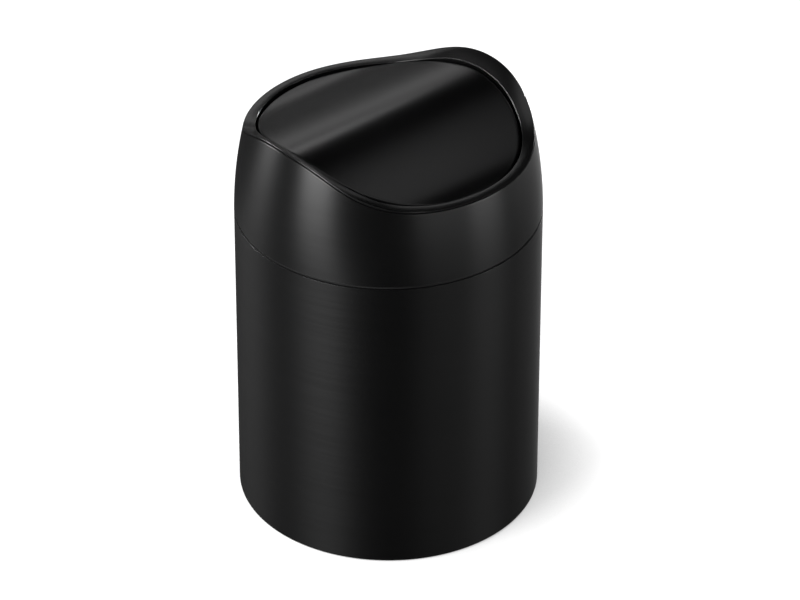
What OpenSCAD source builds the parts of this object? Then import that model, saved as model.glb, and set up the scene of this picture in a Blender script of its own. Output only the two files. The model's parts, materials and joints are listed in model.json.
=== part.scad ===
// Countertop trash can with swing lid.
// The origin is on the surface that the can stands on, at the centre of the base.
// +Z is up, the lid turns about a line along X, and -Y is the front.

/* [Body] */
// Outer diameter of the straight wall
body_d = 124; // [118:1:130]
// Height of the line between the body and the collar
seam_z = 133; // [110:1:160]
// Thickness of the rolled steel wall
sheet_t = 0.6; // [0.5:0.1:0.8]
// Radius of the rolled bead round the mouth of the body
bead_r = 1.2; // [1:0.1:1.5]
// Clear height under the turned-in bottom edge
base_lift = 0.5; // [0.4:0.1:1.2]

/* [Collar] */
// Radius of the arc that draws the collar in like a barrel
barrel_arc = 178; // [165:1:200]
// How far the widest level of the barrel lies below the seam
barrel_drop = 2.5; // [1:0.5:4]
// Height of the visible gap between the body and the collar
seam_gap = 0.9; // [0.6:0.1:1.2]
// Height of the rim above the seam at the front and the back
rim_low = 32.4; // [30:0.2:34]
// How much higher the rim stands at the two pivot ends
rim_rise = 15.1; // [13:0.1:16]
// How much flatter the middle of the rim's flanks is than a plain wave, steeper below zero
rim_flank = -0.12; // [-0.2:0.02:0.2]
// Height of the frame's lip on top of the steel edge
lip_h = 0.8; // [0.6:0.1:1]
// Height of the shadow groove between the steel edge and the lip
groove_h = 0.4; // [0.3:0.1:0.6]

/* [Opening and lid] */
// Length of the opening along the pivot line
opening_l = 98.5; // [97:0.5:100]
// Width of the opening from front to back
opening_w = 110.4; // [108:0.2:110.4]
// How much further out the opening's edge is at its four diagonals than an oval's
opening_full = 0.85; // [0:0.05:1]
// How much higher the lid stands along the pivot line than at its edges
lid_rise = 11.3; // [10:0.1:11.8]
// How much the steepest place of the lid's flanks leans to the ridge, to the edge below zero
lid_lean = -0.1; // [-0.2:0.02:0.1]
// How much flatter the middle of the lid's flanks is than a plain wave
lid_flank = 0.1; // [-0.1:0.02:0.2]
// How far the lid's top face lies below the rim's inner edge
lid_drop = 1; // [0.4:0.1:1.2]
// Gap between the lid and the rim all round
lid_gap = 1; // [0.9:0.1:1.2]
// Thickness of the lid panel
lid_t = 1.6; // [1.4:0.1:1.8]
// Depth of the lid's edge from its top face to the backing
lid_skirt = 5; // [4.6:0.1:5.2]
// Radius of the rim's rounded inner edge
edge_r = 1.6; // [1.2:0.1:1.8]

/* [Pivot] */
// Height of the pivot line above the seam
pivot_h = 38.45; // [38.2:0.05:38.7]
// Diameter of the pivot pins
pin_d = 3; // [2.8:0.1:3.2]
// Radial clearance of a pin in its bush
pin_clear = 0.05; // [0.02:0.01:0.1]
// Angle that the lid swings each way before its keys meet the stops
swing_deg = 80; // [60:1:85]

/* [Hidden] */

body_r = body_d / 2;
round_fn = 120;
steel_black = [0.09, 0.09, 0.10];
moulded_black = [0.13, 0.13, 0.14];
rubber_black = [0.05, 0.05, 0.05];
screw_steel = [0.55, 0.56, 0.58];
nylon_white = [0.88, 0.88, 0.85];

// Barrel: radius of the outer wall at height z
barrel_z = seam_z - barrel_drop;
function wall_r(z) = z < barrel_z ? body_r
    : body_r - barrel_arc + sqrt(barrel_arc * barrel_arc - (z - barrel_z) * (z - barrel_z));

// Waves: heights of the rim's outer and inner edges and of the lid's top at distance y from the pivot line
rim_half = wall_r(seam_z + rim_low);
lid_half = opening_w / 2;
function hump(a, lean, flank) = 1 - cos(a) + lean * (1 - cos(2 * a)) / 2 + flank * (1 - cos(3 * a)) / 3;
function wave(y, half, rise, lean, flank) =
    let (a = 180 * min(abs(y) / half, 1))
    seam_z + rim_low + rise * (1 - hump(a, lean, flank) / hump(180, lean, flank));
function rim_wave(y) = wave(y, rim_half, rim_rise, 0, rim_flank);
function edge_wave(y) = wave(y, lid_half, lid_rise, 0, rim_flank);
function lid_wave(y) = wave(y, lid_half, lid_rise, lid_lean, lid_flank) - lid_drop;

// Opening: radius of its edge at angle t from the pivot line
function opening_r(t) = (opening_l + opening_w) / 4 + (opening_l - opening_w) / 4 * cos(2 * t)
    + opening_full * (1 - cos(4 * t)) / 2;

// Rim: radius of its outer edge at angle t, where the rim wave meets the barrel
function rim_r(t, pass = 4) = pass == 0 ? rim_half : wall_r(rim_wave(rim_r(t, pass - 1) * sin(t)));

// Pivot line and the pieces along it
pivot_z = seam_z + pivot_h;
pin_r = pin_d / 2;
bush_r = pin_r + pin_clear + 0.75;
bush_flange_r = 2.9;
bush_flange_t = 0.5;
bush_end = opening_l / 2 + 2.9;
key_r = 3.6;
key_disc_r = 2;
key_half_deg = 14;
key_play_deg = 5;
key_start = bush_end + bush_flange_t + 0.2;
key_end = key_start + 1.1;
boss_end = key_end + 0.2;
boss_r = 4.9;
pin_start = 41.5;

// Screw places
post_ring = 55.65;
post_r = 2.15;
post_deg = [52, 128, 232, 308];
screw_r = 1.2;
lug_ring = post_ring - 0.8;
lug_r = 3.8;
lug_t = 2.4;
lug_z = seam_z + seam_gap / 2 + 0.6;
head_z = lug_z + 0.3;
lid_screw_x = 24;
lid_screw_y = 33;
lid_screw_r = 1;
frame_bite = 6.7;
lid_bite = 4.8;
weight_bite = 3.8;

// Lid backing and the weight under it
backing_t = 1.4;
edge_step = 0.6;
skirt_t = 1.4;
rib_h = 2.2;
rib_t = 1.2;
weight_size = [56, 12, 6];
weight_top = pivot_z - 2.8;
weight_screw_x = 18;
weight_seat = 2;
lid_seat_z = lid_wave(lid_screw_y) - lid_skirt;
lid_pad_z = lid_seat_z - backing_t - 1.2;

// Base
hem_w = 3.5;
pan_z = base_lift + sheet_t;
pan_rise = 2.2;
pan_step_r = 57.6;
ring_low = 0.6;
ring_in = 44;
pad_r = 5;
pad_h = 1.8;
pad_ring = 50.5;

// Rim frame
frame_t = 1.2;
skin_gap = 0.1;
funnel_z = seam_z + 24;
funnel_flare = 0.3;
spigot_r = body_r - 2 * bead_r - 0.35;
spigot_t = 1.8;
spigot_low = seam_z - 11;

// Flat outline of the opening, made smaller by inset
module opening_outline(inset) {
    steps = 96;
    polygon([for (i = [0 : steps - 1])
        let (t = 360 * i / steps, r = opening_r(t) - inset)
        [r * cos(t), r * sin(t)]]);
}

// Plate that follows the lid's wave, from low to high below its top face, inside the inset outline
module lid_slab(high, low, inset) {
    steps = 36;
    reach = lid_half - 0.2;
    top = [for (i = [0 : steps]) let (y = reach * (2 * i / steps - 1)) [y, lid_wave(y) - high]];
    bottom = [for (i = [0 : steps]) let (y = reach * (1 - 2 * i / steps)) [y, lid_wave(y) - low]];
    intersection() {
        translate([-opening_l, 0, 0])
            rotate([90, 0, 90])
                linear_extrude(2 * opening_l)
                    polygon(concat(top, bottom));
        translate([0, 0, seam_z])
            linear_extrude(rim_low + rim_rise + 5)
                opening_outline(inset);
    }
}

// Everything below the rim's wave, lowered by drop
module below_rim(drop) {
    steps = 40;
    edge = [for (i = [0 : steps]) let (y = rim_half * (2 * i / steps - 1)) [y, rim_wave(y) - drop]];
    side = body_r + 2;
    low = seam_z - 5;
    translate([-side, 0, 0])
        rotate([90, 0, 90])
            linear_extrude(2 * side)
                polygon(concat([[-side, low], [-side, edge[0][1]]], edge,
                    [[side, edge[steps][1]], [side, low]]));
}

// Pan-head screw that points up, with its head under the seat at z = 0
module screw(length, r) {
    head_r = 2 * r;
    head_h = 1.2 * r;
    difference() {
        union() {
            cylinder(h = length, r = r, $fn = 24);
            translate([0, 0, -head_h])
                cylinder(h = head_h, r1 = head_r * 0.8, r2 = head_r, $fn = 32);
        }
        translate([-head_r * 0.6, -r * 0.2, -head_h - 0.1])
            cube([head_r * 1.2, r * 0.4, head_h * 0.6]);
        translate([-r * 0.2, -head_r * 0.6, -head_h - 0.1])
            cube([r * 0.4, head_r * 1.2, head_h * 0.6]);
    }
}

// Round bar along +X from x = from to x = to, on the pivot line
module pivot_bar(from, to, r) {
    translate([from, 0, pivot_z])
        rotate([0, 90, 0])
            cylinder(h = to - from, r = r, $fn = 48);
}

// Sector of a disc on the pivot line, centred on straight up, from x = from to x = to
module pivot_sector(from, to, r, half_deg) {
    far = r * 3;
    steps = 6;
    intersection() {
        pivot_bar(from, to, r);
        translate([from, 0, pivot_z])
            rotate([90, 0, 90])
                linear_extrude(to - from)
                    polygon(concat([[0, 0]],
                        [for (i = [0 : steps])
                            let (a = half_deg * (2 * i / steps - 1))
                            [-far * sin(a), far * cos(a)]]));
    }
}

// Straight wall with a turned-in bottom edge and a rolled bead round the mouth
module body_sleeve() {
    top = seam_z - seam_gap / 2;
    fold = sheet_t;
    color(steel_black)
        difference() {
            rotate_extrude($fn = round_fn)
                union() {
                    polygon(concat(
                        [[body_r, top - bead_r], [body_r - sheet_t, top - bead_r],
                            [body_r - sheet_t, pan_z], [body_r - hem_w, pan_z], [body_r - hem_w, base_lift]],
                        [for (a = [-90 : 30 : 0])
                            [body_r - fold + fold * cos(a), base_lift + fold + fold * sin(a)]]));
                    translate([body_r - bead_r, top - bead_r])
                        circle(r = bead_r, $fn = 32);
                }
            weld_line(pan_z + 2, top - 2 * bead_r);
        }
}

// Shallow line at the back, where a rolled sheet is welded
module weld_line(low, high) {
    width = 0.5;
    depth = 0.12;
    steps = 12;
    intersection() {
        rotate_extrude($fn = round_fn)
            polygon(concat([[body_r + 1, low]],
                [[body_r + 1, high]],
                [for (i = [0 : steps]) let (z = high + (low - high) * i / steps) [wall_r(z) - depth, z]]));
        translate([-width / 2, 0, low])
            cube([width, body_r + 1, high - low]);
    }
}

// Pressed floor with an upturned edge, a raised middle and a stiffening bead
module base_pan() {
    t = sheet_t;
    out = body_r - t - 0.1;
    high = pan_z + pan_rise;
    bead_in = 26;
    bead_out = 30;
    color(steel_black)
        rotate_extrude($fn = round_fn)
            polygon([[0, high], [bead_in, high], [bead_in + 1, high + 0.8], [bead_out - 1, high + 0.8],
                [bead_out, high], [pan_step_r - t, high], [pan_step_r - t, pan_z], [out, pan_z],
                [out, pan_z + 3.6], [out - t, pan_z + 3.6], [out - t, pan_z + t], [pan_step_r, pan_z + t],
                [pan_step_r, high + t], [bead_out, high + t], [bead_out - 1, high + 0.8 + t],
                [bead_in + 1, high + 0.8 + t], [bead_in, high + t], [0, high + t]]);
}

// Moulded ring under the pan, with a socket for each foot pad
module base_ring() {
    out = pan_step_r - sheet_t - 0.1;
    color(moulded_black)
        difference() {
            rotate_extrude($fn = round_fn)
                polygon([[ring_in, pan_z + pan_rise], [ring_in, ring_low + 0.5], [ring_in + 0.5, ring_low],
                    [out - 0.5, ring_low], [out, ring_low + 0.5], [out, pan_z + pan_rise]]);
            for (i = [1 : 4])
                place_pad(i)
                    translate([0, 0, ring_low - 1])
                        cylinder(h = pad_h - ring_low + 1, r = pad_r + 0.05, $fn = 48);
        }
}

// Moves its child to the place of one foot pad
module place_pad(i) {
    rotate([0, 0, 45 + 90 * i])
        translate([pad_ring, 0, 0])
            children();
}

// Round rubber pad that stands on the table
module foot_pad(i) {
    color(rubber_black)
        place_pad(i)
            union() {
                cylinder(h = 0.4, r1 = pad_r - 0.4, r2 = pad_r, $fn = 48);
                translate([0, 0, 0.4])
                    cylinder(h = pad_h - 0.4, r = pad_r, $fn = 48);
            }
}

// Barrel-shaped steel wall with a turned-in bottom edge and a waved top edge
module collar_skin() {
    low = seam_z + seam_gap / 2;
    high = seam_z + rim_low + rim_rise + 2;
    steps = 20;
    levels = [for (i = [0 : steps]) low + 0.6 + (high - low - 0.6) * i / steps];
    color(steel_black)
        difference() {
            intersection() {
                rotate_extrude($fn = round_fn)
                    polygon(concat(
                        [[body_r - 3, low], [body_r - 0.5, low], [body_r - 0.15, low + 0.15]],
                        [for (z = levels) [wall_r(z), z]],
                        [for (i = [steps : -1 : 0]) [wall_r(levels[i]) - sheet_t, levels[i]]],
                        [[body_r - 3, low + 0.6]]));
                below_rim(lip_h + groove_h);
            }
            weld_line(low + 2, high);
        }
}

// Section of the rim frame at angle t, as points of radius and height
function frame_section(t) =
    let (
        ro = rim_r(t),
        zo = rim_wave(ro * sin(t)),
        ri = opening_r(t),
        zi = edge_wave(ri * sin(t)),
        outer = [ro, zo],
        inner = [ri, zi],
        span = norm(outer - inner),
        along = (outer - inner) / span,
        up = [-along[1], along[0]],
        bend = inner + along * edge_r,
        drop = inner - [0, edge_r],
        trim = 0.3,
        crown = 0.15,
        under = edge_r + 0.4,
        lip_z = zo - lip_h,
        flange_z = lip_z - 4,
        flange_r = wall_r(flange_z) - sheet_t - skin_gap,
        lip_in = wall_r(lip_z) - sheet_t - skin_gap
    )
    concat(
        [[wall_r(lip_z), lip_z], [wall_r(zo - trim), zo - trim], outer - along * trim + up * crown / 8],
        [(outer + bend) / 2 + up * crown],
        [for (s = [0 : 0.25 : 1]) bend * (1 - s) * (1 - s) + inner * 2 * s * (1 - s) + drop * s * s],
        [[ri + funnel_flare, funnel_z], [ri + funnel_flare + frame_t, funnel_z], [ri + frame_t, zi - under],
            [lip_in - frame_t, zo - under], [flange_r - frame_t, flange_z],
            [flange_r, flange_z], [lip_in, lip_z]]);

// Closed band, funnel and locating flange: one section swept round and joined to itself
module frame_loft() {
    steps = 96;
    sections = [for (i = [0 : steps - 1])
        let (t = 360 * i / steps)
        [for (p = frame_section(t)) [p[0] * cos(t), p[0] * sin(t), p[1]]]];
    count = len(sections[0]);
    points = [for (s = sections) each s];
    faces = [for (i = [0 : steps - 1], j = [0 : count - 1])
        let (
            a = i * count + j,
            b = i * count + (j + 1) % count,
            c = ((i + 1) % steps) * count + (j + 1) % count,
            d = ((i + 1) % steps) * count + j
        )
        each [[a, b, c], [a, c, d]]];
    polyhedron(points, faces, convexity = 6);
}

// Solid round one pivot, kept under the slope of the band
module pivot_boss() {
    half = opening_l / 2;
    intersection() {
        pivot_bar(half + 0.4, boss_end, boss_r);
        translate([0, boss_r + 1, 0])
            rotate([90, 0, 0])
                linear_extrude(2 * boss_r + 2)
                    polygon([[half, pivot_z - boss_r - 1], [boss_end + 1, pivot_z - boss_r - 1],
                        [boss_end + 1, pivot_z + boss_r + 1], [half + 2, pivot_z + boss_r],
                        [half + 0.6, pivot_z + 3.2], [half, pivot_z + 3.2]]);
    }
}

// Bore for a bush, seat for its flange, and the pocket in which the pin's key turns
module pivot_cuts() {
    seat_end = bush_end + bush_flange_t;
    pivot_bar(opening_l / 2 - 1, bush_end + 0.01, bush_r);
    pivot_bar(bush_end, seat_end + 0.05, bush_flange_r + 0.05);
    pivot_bar(seat_end, boss_end + 1, key_disc_r + 0.3);
    pivot_sector(seat_end, boss_end + 1, key_r + 0.3, swing_deg + key_half_deg + key_play_deg);
}

// Four posts for the screws, cut back where they would show inside the funnel
module screw_posts(low) {
    high = seam_z + rim_low + 0.6;
    difference() {
        for (a = post_deg)
            rotate([0, 0, a])
                translate([post_ring, 0, low])
                    cylinder(h = high - low, r = post_r, $fn = 32);
        translate([0, 0, funnel_z + 1])
            linear_extrude(high - funnel_z)
                opening_outline(-2 * funnel_flare);
    }
}

// Moulded frame: band round the lid, funnel below it, pivot bosses and screw posts
module rim_frame() {
    post_low = lug_z + lug_t;
    color(moulded_black)
        difference() {
            union() {
                frame_loft();
                pivot_boss();
                mirror([1, 0, 0])
                    pivot_boss();
                screw_posts(post_low);
            }
            pivot_cuts();
            mirror([1, 0, 0])
                pivot_cuts();
            for (a = post_deg)
                rotate([0, 0, a])
                    translate([post_ring, 0, post_low - 1])
                        cylinder(h = 10, r = screw_r + 0.05, $fn = 24);
        }
}

// Moulded ring that plugs into the mouth of the body and carries the collar on its flange
module spigot_ring() {
    low = seam_z - seam_gap / 2;
    high = seam_z + seam_gap / 2;
    inner = spigot_r - spigot_t;
    wall = body_r - 3.15;
    color(moulded_black)
        difference() {
            union() {
                rotate_extrude($fn = round_fn)
                    polygon([[inner, spigot_low], [spigot_r - 0.8, spigot_low], [spigot_r, spigot_low + 2],
                        [spigot_r, low], [body_r - 0.8, low], [body_r - 0.8, high], [wall, high],
                        [wall, high + 3], [inner, high + 3]]);
                for (a = post_deg)
                    rotate([0, 0, a])
                        translate([lug_ring, 0, lug_z])
                            cylinder(h = lug_t, r = lug_r, $fn = 32);
            }
            for (a = post_deg)
                rotate([0, 0, a])
                    translate([post_ring, 0, 0]) {
                        translate([0, 0, lug_z - 1])
                            cylinder(h = lug_t + 2, r = screw_r + 0.25, $fn = 24);
                        translate([0, 0, head_z - 4])
                            cylinder(h = 4, r = 2 * screw_r + 0.2, $fn = 32);
                    }
        }
}

// Four screws from below, through the spigot ring into the posts of the frame
module frame_screws() {
    color(screw_steel)
        for (a = post_deg)
            rotate([0, 0, a])
                translate([post_ring, 0, head_z])
                    screw(lug_t + frame_bite, screw_r);
}

// Nylon bush with a flange on its outer end
module pivot_bush() {
    difference() {
        union() {
            pivot_bar(opening_l / 2 + 0.3, bush_end, bush_r);
            pivot_bar(bush_end, bush_end + bush_flange_t, bush_flange_r);
        }
        pivot_bar(opening_l / 2 - 1, bush_end + 2, pin_r + pin_clear);
    }
}

// Bush in the frame's left boss
module pivot_bush_left() {
    color(nylon_white)
        mirror([1, 0, 0])
            pivot_bush();
}

// Bush in the frame's right boss
module pivot_bush_right() {
    color(nylon_white)
        pivot_bush();
}

// Steel pin with a wedge-shaped key that meets the stops of the frame
module pivot_pin() {
    pivot_bar(pin_start, key_end, pin_r);
    pivot_bar(key_start, key_end, key_disc_r);
    pivot_sector(key_start, key_end, key_r, key_half_deg);
}

// Pin of the lid's left end
module pivot_pin_left() {
    color(screw_steel)
        mirror([1, 0, 0])
            pivot_pin();
}

// Pin of the lid's right end
module pivot_pin_right() {
    color(screw_steel)
        pivot_pin();
}

// Moves its children to the four screw places of the lid
module place_lid_screws() {
    for (sx = [-1, 1], sy = [-1, 1])
        translate([sx * lid_screw_x, sy * lid_screw_y, 0])
            children();
}

// Waved top shell of the lid, with a skirt and four short bosses behind it
module lid_panel() {
    boss = 2.4;
    color(steel_black)
        difference() {
            union() {
                lid_slab(0, lid_t, lid_gap);
                difference() {
                    lid_slab(lid_t - 0.4, lid_skirt, lid_gap + edge_step);
                    lid_slab(lid_t - 0.6, lid_skirt + 1, lid_gap + edge_step + skirt_t);
                }
                intersection() {
                    lid_slab(lid_t - 0.4, lid_skirt, lid_gap + 2);
                    place_lid_screws()
                        translate([0, 0, lid_seat_z - 2])
                            cylinder(h = lid_skirt + 4, r = boss, $fn = 32);
                }
            }
            for (side = [0, 1])
                mirror([side, 0, 0])
                    pivot_bar(pin_start, opening_l / 2, pin_r + 0.05);
            place_lid_screws()
                translate([0, 0, lid_seat_z - 2])
                    cylinder(h = 4.4, r = lid_screw_r + 0.05, $fn = 24);
        }
}

// Ribs under the backing, along and across the lid
module backing_ribs() {
    intersection() {
        lid_slab(lid_skirt + backing_t - 0.2, lid_skirt + backing_t + rib_h, lid_gap + 4);
        union() {
            for (y = [-40, -26, -12, 12, 26, 40])
                translate([-opening_l / 2, y - rib_t / 2, seam_z])
                    cube([opening_l, rib_t, rim_low + rim_rise]);
            for (x = [-32, 0, 32])
                translate([x - rib_t / 2, -opening_w / 2, seam_z])
                    cube([rib_t, opening_w, rim_low + rim_rise]);
        }
    }
}

// Moulded lower shell of the lid, with ribs, pin bosses and screw pads
module lid_backing() {
    boss = 3.2;
    boss_depth = 20;
    color(moulded_black)
        difference() {
            union() {
                lid_slab(lid_skirt, lid_skirt + backing_t, lid_gap + edge_step);
                difference() {
                    backing_ribs();
                    translate([-weight_size[0] / 2 - 1, -weight_size[1] / 2 - 1, seam_z])
                        cube([weight_size[0] + 2, weight_size[1] + 2, rim_low + rim_rise]);
                }
                intersection() {
                    lid_slab(lid_skirt + 0.2, lid_skirt + 5, lid_gap + 2);
                    place_lid_screws()
                        translate([0, 0, lid_pad_z])
                            cylinder(h = 6, r = boss, $fn = 32);
                }
                intersection() {
                    lid_slab(lid_t, boss_depth, lid_gap + edge_step + skirt_t + 0.1);
                    union() {
                        for (side = [0, 1])
                            mirror([side, 0, 0]) {
                                pivot_bar(pin_start - 2, opening_l / 2, boss);
                                translate([weight_screw_x, 0, weight_top])
                                    cylinder(h = 5, r = 3, $fn = 32);
                            }
                    }
                }
            }
            for (side = [0, 1])
                mirror([side, 0, 0]) {
                    pivot_bar(pin_start, opening_l / 2, pin_r + 0.02);
                    translate([weight_screw_x, 0, weight_top - 1])
                        cylinder(h = 5.2, r = lid_screw_r + 0.05, $fn = 24);
                }
            place_lid_screws()
                translate([0, 0, lid_pad_z - 1])
                    cylinder(h = 8, r = lid_screw_r + 0.25, $fn = 24);
        }
}

// Four screws from below, through the backing into the panel
module lid_screws() {
    color(screw_steel)
        place_lid_screws()
            translate([0, 0, lid_pad_z])
                screw(lid_bite, lid_screw_r);
}

// Steel bar under the backing, with counterbored screw holes
module return_weight() {
    bar = weight_size;
    corner = 2;
    color(screw_steel)
        difference() {
            translate([0, 0, weight_top - bar[2]])
                linear_extrude(bar[2])
                    union() {
                        square([bar[0] - 2 * corner, bar[1]], center = true);
                        square([bar[0], bar[1] - 2 * corner], center = true);
                        for (sx = [-1, 1], sy = [-1, 1])
                            translate([sx * (bar[0] / 2 - corner), sy * (bar[1] / 2 - corner)])
                                circle(r = corner, $fn = 32);
                    }
            for (sx = [-1, 1])
                translate([sx * weight_screw_x, 0, weight_top - bar[2]]) {
                    translate([0, 0, -1])
                        cylinder(h = bar[2] + 2, r = lid_screw_r + 0.25, $fn = 24);
                    translate([0, 0, -1])
                        cylinder(h = weight_seat + 1, r = 2 * lid_screw_r + 0.3, $fn = 32);
                }
        }
}

// Two screws that hold the weight to the backing
module weight_screws() {
    color(screw_steel)
        for (sx = [-1, 1])
            translate([sx * weight_screw_x, 0, weight_top - weight_size[2] + weight_seat])
                screw(weight_size[2] - weight_seat + weight_bite, lid_screw_r);
}

body_sleeve();
base_pan();
base_ring();
foot_pad(1);  // foot_pad_1
foot_pad(2);  // foot_pad_2
foot_pad(3);  // foot_pad_3
foot_pad(4);  // foot_pad_4
collar_skin();
rim_frame();
spigot_ring();
frame_screws();
pivot_bush_left();
pivot_bush_right();
lid_panel();
lid_backing();
lid_screws();
pivot_pin_left();
pivot_pin_right();
return_weight();
weight_screws();
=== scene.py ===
"""Looks of a countertop trash can with a swing lid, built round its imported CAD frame.

Lengths are in metres in the frame of the CAD model: the origin is on the surface under the can,
+Z is up, the lid turns about a line along X, and -Y is the front.
"""

import json
import logging
import math
from abc import ABC, abstractmethod
from dataclasses import dataclass, field
from enum import Enum
from typing import Sequence

import bmesh
import bpy
import numpy as np
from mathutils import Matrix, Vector


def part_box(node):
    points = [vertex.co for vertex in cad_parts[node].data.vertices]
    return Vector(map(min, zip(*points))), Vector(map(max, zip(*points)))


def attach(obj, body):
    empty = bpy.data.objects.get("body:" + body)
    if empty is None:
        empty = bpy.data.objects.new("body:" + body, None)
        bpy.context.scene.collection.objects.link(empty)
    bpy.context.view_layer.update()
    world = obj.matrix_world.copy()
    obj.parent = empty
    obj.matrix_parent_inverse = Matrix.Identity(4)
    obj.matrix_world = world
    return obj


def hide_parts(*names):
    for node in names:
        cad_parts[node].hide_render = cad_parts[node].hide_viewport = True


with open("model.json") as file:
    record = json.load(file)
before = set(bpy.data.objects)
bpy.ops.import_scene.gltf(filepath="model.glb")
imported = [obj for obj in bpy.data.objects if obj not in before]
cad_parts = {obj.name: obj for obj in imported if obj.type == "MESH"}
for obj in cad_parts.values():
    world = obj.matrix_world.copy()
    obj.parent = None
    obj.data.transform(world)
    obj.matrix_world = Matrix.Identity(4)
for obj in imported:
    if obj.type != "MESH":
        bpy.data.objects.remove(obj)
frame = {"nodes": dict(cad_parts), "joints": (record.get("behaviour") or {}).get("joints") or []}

Triple = tuple[float, float, float]
Pair = tuple[float, float]
LOG = logging.getLogger("trash_can")
MM = 0.001
SHARP_DEG = 50.0
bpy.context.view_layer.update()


class Body(Enum):
    """Bodies of the CAD model that pieces ride on."""

    CAN = "can"
    TOP = "top"
    LID = "lid"


class Slot(Enum):
    """Material slots of the record."""

    SHELL = "shell_steel"
    LID = "lid_black"
    FRAME = "frame_black"
    INNER = "inner_black"
    PAN = "pan_steel"
    PAD = "pad_rubber"
    PIN = "pin_steel"
    SCREW = "screw_zinc"
    BUSH = "bush_nylon"
    WEIGHT = "weight_steel"


class Merge(Enum):
    """Ways to join two values of a node tree."""

    LARGER = "MAXIMUM"
    PRODUCT = "MULTIPLY"


class Join(Enum):
    """Ways to combine two closed bodies."""

    ADD = "UNION"
    CUT = "DIFFERENCE"


# Finishes


class NodeSheet:
    """Node tree of one material, with short calls for what the finishes share."""

    NOISE_LOW = 0.25
    NOISE_HIGH = 0.75

    def __init__(self, name: str) -> None:
        """Starts an empty material with an output and a Principled shader.

        Args:
            name: Name of the material.
        """
        self.material = bpy.data.materials.new(name)
        self.material.use_nodes = True
        self.tree = self.material.node_tree
        self.tree.nodes.clear()
        output = self.node("OutputMaterial")
        self.shader = self.node("BsdfPrincipled")
        self.link(self.shader.outputs["BSDF"], output.inputs["Surface"])

    def node(self, kind: str, **settings: object) -> bpy.types.Node:
        """Adds a node and sets its properties.

        Args:
            kind: Type of the node without its common prefix.
            settings: Properties of the node by name.

        Returns:
            The new node.
        """
        made = self.tree.nodes.new("ShaderNode" + kind)
        for key, value in settings.items():
            setattr(made, key, value)
        return made

    def link(self, source: bpy.types.NodeSocket, target: bpy.types.NodeSocket) -> None:
        """Links one socket to another."""
        self.tree.links.new(source, target)

    def place(self, stretch: Triple = (1.0, 1.0, 1.0)) -> bpy.types.NodeSocket:
        """Gives object coordinates, in metres, that are scaled along each axis.

        Args:
            stretch: Scale along X, Y and Z.

        Returns:
            The socket with the scaled coordinates.
        """
        source = self.node("TexCoord")
        mapping = self.node("Mapping")
        mapping.inputs["Scale"].default_value = stretch
        self.link(source.outputs["Object"], mapping.inputs["Vector"])
        return mapping.outputs["Vector"]

    def noise(self, where: bpy.types.NodeSocket, scale: float, detail: float = 2.0) -> bpy.types.NodeSocket:
        """Adds a noise texture.

        Args:
            where: Coordinates to read it at.
            scale: Cells per unit of these coordinates.
            detail: Number of finer layers.

        Returns:
            The socket with values round one half.
        """
        made = self.node("TexNoise")
        made.inputs["Scale"].default_value = scale
        made.inputs["Detail"].default_value = detail
        self.link(where, made.inputs["Vector"])
        return made.outputs["Fac"]

    def spread(self, noise: bpy.types.NodeSocket, low: float, high: float) -> bpy.types.NodeSocket:
        """Maps noise values, which lie near one half, smoothly to a range.

        Args:
            noise: Socket with the noise.
            low: Result at the low end of the noise.
            high: Result at the high end of the noise.

        Returns:
            The socket with the mapped values.
        """
        made = self.node("MapRange", interpolation_type="SMOOTHSTEP")
        ends = {"From Min": self.NOISE_LOW, "From Max": self.NOISE_HIGH, "To Min": low, "To Max": high}
        for socket, value in ends.items():
            made.inputs[socket].default_value = value
        self.link(noise, made.inputs["Value"])
        return made.outputs["Result"]

    def paint(self, noise: bpy.types.NodeSocket, base: Sequence[float], tint: Sequence[float],
              most: float = 1.0) -> None:
        """Drives the base colour by noise.

        Args:
            noise: Socket with the noise.
            base: Colour at the low end of the noise.
            tint: Second colour.
            most: Share of the second colour at the high end of the noise.
        """
        made = self.node("Mix", data_type="RGBA")
        made.inputs["A"].default_value = (*base, 1)
        made.inputs["B"].default_value = (*tint, 1)
        self.link(self.spread(noise, 0, most), made.inputs["Factor"])
        self.link(made.outputs["Result"], self.shader.inputs["Base Color"])

    def roughen(self, noise: bpy.types.NodeSocket, rough: Sequence[float]) -> None:
        """Drives the roughness by noise, between two values."""
        self.link(self.spread(noise, *rough), self.shader.inputs["Roughness"])

    def join(self, how: Merge, *values: bpy.types.NodeSocket) -> bpy.types.NodeSocket:
        """Joins values one after the other.

        Args:
            how: What is done with two values.
            values: Sockets with the values.

        Returns:
            The socket with the result.
        """
        result = values[0]
        for value in values[1:]:
            made = self.node("Math", operation=how.value)
            self.link(result, made.inputs[0])
            self.link(value, made.inputs[1])
            result = made.outputs["Value"]
        return result

    def relief(self, height: bpy.types.NodeSocket, depth: float, strength: float) -> None:
        """Drives the shader's normal by a bump.

        Args:
            height: Socket with the height, from 0 to 1.
            depth: Depth of the bump in metres.
            strength: Share of the bump that shows.
        """
        made = self.node("Bump")
        made.inputs["Distance"].default_value = depth
        made.inputs["Strength"].default_value = strength
        self.link(height, made.inputs["Height"])
        self.link(made.outputs["Normal"], self.shader.inputs["Normal"])

    def set(self, **values: object) -> None:
        """Sets sockets of the shader, given by their names with underscores for spaces."""
        for key, value in values.items():
            self.shader.inputs[key.replace("_", " ")].default_value = value


class Finish(ABC):
    """Finish of a material slot."""

    @abstractmethod
    def dress(self, sheet: NodeSheet) -> None:
        """Sets up the shader on an empty sheet."""

    def material(self, name: str) -> bpy.types.Material:
        """Makes the material with this finish.

        Args:
            name: Name of the material.

        Returns:
            The new material.
        """
        sheet = NodeSheet(name)
        self.dress(sheet)
        return sheet.material


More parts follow.
